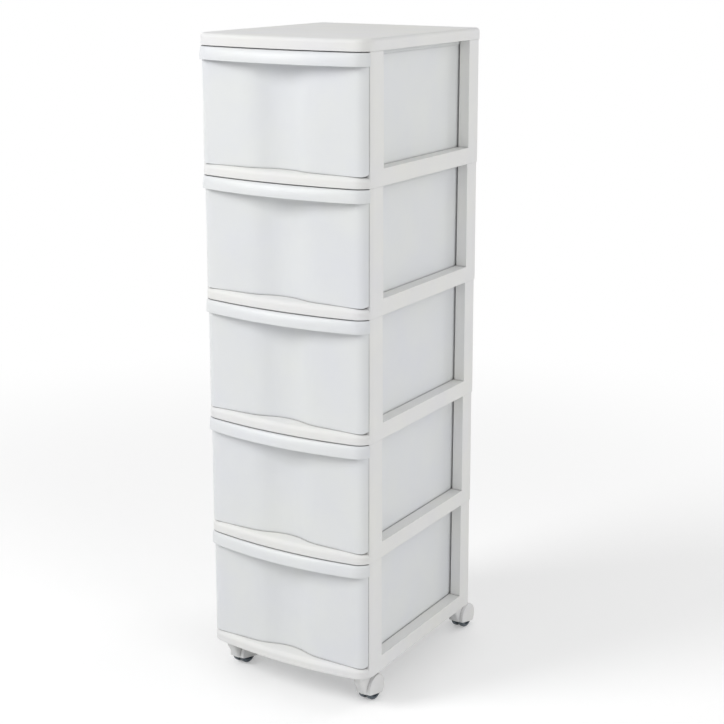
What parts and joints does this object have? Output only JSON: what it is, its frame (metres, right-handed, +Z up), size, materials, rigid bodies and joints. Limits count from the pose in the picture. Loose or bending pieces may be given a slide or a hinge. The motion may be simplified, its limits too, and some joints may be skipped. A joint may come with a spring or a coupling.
{
  "type": "plastic drawer tower",
  "caption": "Tall tower of stacked drawers in open-sided white plastic frames, with bowed pull lips, a rounded top cover and hooded twin-wheel casters.",
  "frame": {"origin": "on the floor, below the middle of the whole tower with its casters trailing to the rear", "axes": "+Z up, +Y to the rear, so the drawers open towards -Y, and +X to the right seen from the front"},
  "size_m": [0.296, 0.4056, 1.0255],
  "materials": {
    "frame_plastic": "white moulded polypropylene, fine matt texture",
    "drawer_plastic": "milky white polypropylene, soft sheen",
    "hood_plastic": "white moulded nylon",
    "wheel_plastic": "slate grey nylon",
    "steel": "zinc plated steel"
  },
  "bodies": {
    "root": {"top_cover": "frame_plastic", "tier_frame_1": "frame_plastic", "tier_frame_2": "frame_plastic", "tier_frame_3": "frame_plastic", "tier_frame_4": "frame_plastic", "base_frame": "frame_plastic"},
    "drawer_1": {"drawer_1": "drawer_plastic"},
    "drawer_2": {"drawer_2": "drawer_plastic"},
    "drawer_3": {"drawer_3": "drawer_plastic"},
    "drawer_4": {"drawer_4": "drawer_plastic"},
    "drawer_5": {"drawer_5": "drawer_plastic"},
    "front_left_caster": {"front_left_stem": "steel", "front_left_grip_ring": "steel", "front_left_hood": "hood_plastic", "front_left_axle": "steel"},
    "front_left_wheel_inner": {"front_left_wheel_inner": "wheel_plastic"},
    "front_left_wheel_outer": {"front_left_wheel_outer": "wheel_plastic"},
    "front_right_caster": {"front_right_stem": "steel", "front_right_grip_ring": "steel", "front_right_hood": "hood_plastic", "front_right_axle": "steel"},
    "front_right_wheel_inner": {"front_right_wheel_inner": "wheel_plastic"},
    "front_right_wheel_outer": {"front_right_wheel_outer": "wheel_plastic"},
    "rear_left_caster": {"rear_left_stem": "steel", "rear_left_grip_ring": "steel", "rear_left_hood": "hood_plastic", "rear_left_axle": "steel"},
    "rear_left_wheel_inner": {"rear_left_wheel_inner": "wheel_plastic"},
    "rear_left_wheel_outer": {"rear_left_wheel_outer": "wheel_plastic"},
    "rear_right_caster": {"rear_right_stem": "steel", "rear_right_grip_ring": "steel", "rear_right_hood": "hood_plastic", "rear_right_axle": "steel"},
    "rear_right_wheel_inner": {"rear_right_wheel_inner": "wheel_plastic"},
    "rear_right_wheel_outer": {"rear_right_wheel_outer": "wheel_plastic"}
  },
  "joints": [
    {"name": "drawer_1_slide", "type": "slide", "parent": "root", "child": "drawer_1", "axis": [0, -1, 0], "range_m": [0, 0.2695]},
    {"name": "drawer_2_slide", "type": "slide", "parent": "root", "child": "drawer_2", "axis": [0, -1, 0], "range_m": [0, 0.2695]},
    {"name": "drawer_3_slide", "type": "slide", "parent": "root", "child": "drawer_3", "axis": [0, -1, 0], "range_m": [0, 0.2695]},
    {"name": "drawer_4_slide", "type": "slide", "parent": "root", "child": "drawer_4", "axis": [0, -1, 0], "range_m": [0, 0.2695]},
    {"name": "drawer_5_slide", "type": "slide", "parent": "root", "child": "drawer_5", "axis": [0, -1, 0], "range_m": [0, 0.2695]},
    {"name": "front_left_swivel", "type": "hinge", "parent": "root", "child": "front_left_caster", "pos_m": [-0.122, -0.15985, 0.058], "axis": [0, 0, 1], "continuous": true},
    {"name": "front_left_wheel_inner_spin", "type": "hinge", "parent": "front_left_caster", "child": "front_left_wheel_inner", "pos_m": [-0.1154, -0.12785, 0.02], "axis": [1, 0, 0], "continuous": true},
    {"name": "front_left_wheel_outer_spin", "type": "hinge", "parent": "front_left_caster", "child": "front_left_wheel_outer", "pos_m": [-0.1286, -0.12785, 0.02], "axis": [1, 0, 0], "continuous": true},
    {"name": "front_right_swivel", "type": "hinge", "parent": "root", "child": "front_right_caster", "pos_m": [0.122, -0.15985, 0.058], "axis": [0, 0, 1], "continuous": true},
    {"name": "front_right_wheel_inner_spin", "type": "hinge", "parent": "front_right_caster", "child": "front_right_wheel_inner", "pos_m": [0.1154, -0.12785, 0.02], "axis": [1, 0, 0], "continuous": true},
    {"name": "front_right_wheel_outer_spin", "type": "hinge", "parent": "front_right_caster", "child": "front_right_wheel_outer", "pos_m": [0.1286, -0.12785, 0.02], "axis": [1, 0, 0], "continuous": true},
    {"name": "rear_left_swivel", "type": "hinge", "parent": "root", "child": "rear_left_caster", "pos_m": [-0.122, 0.14865, 0.058], "axis": [0, 0, 1], "continuous": true},
    {"name": "rear_left_wheel_inner_spin", "type": "hinge", "parent": "rear_left_caster", "child": "rear_left_wheel_inner", "pos_m": [-0.1154, 0.18065, 0.02], "axis": [1, 0, 0], "continuous": true},
    {"name": "rear_left_wheel_outer_spin", "type": "hinge", "parent": "rear_left_caster", "child": "rear_left_wheel_outer", "pos_m": [-0.1286, 0.18065, 0.02], "axis": [1, 0, 0], "continuous": true},
    {"name": "rear_right_swivel", "type": "hinge", "parent": "root", "child": "rear_right_caster", "pos_m": [0.122, 0.14865, 0.058], "axis": [0, 0, 1], "continuous": true},
    {"name": "rear_right_wheel_inner_spin", "type": "hinge", "parent": "rear_right_caster", "child": "rear_right_wheel_inner", "pos_m": [0.1154, 0.18065, 0.02], "axis": [1, 0, 0], "continuous": true},
    {"name": "rear_right_wheel_outer_spin", "type": "hinge", "parent": "rear_right_caster", "child": "rear_right_wheel_outer", "pos_m": [0.1286, 0.18065, 0.02], "axis": [1, 0, 0], "continuous": true}
  ]
}
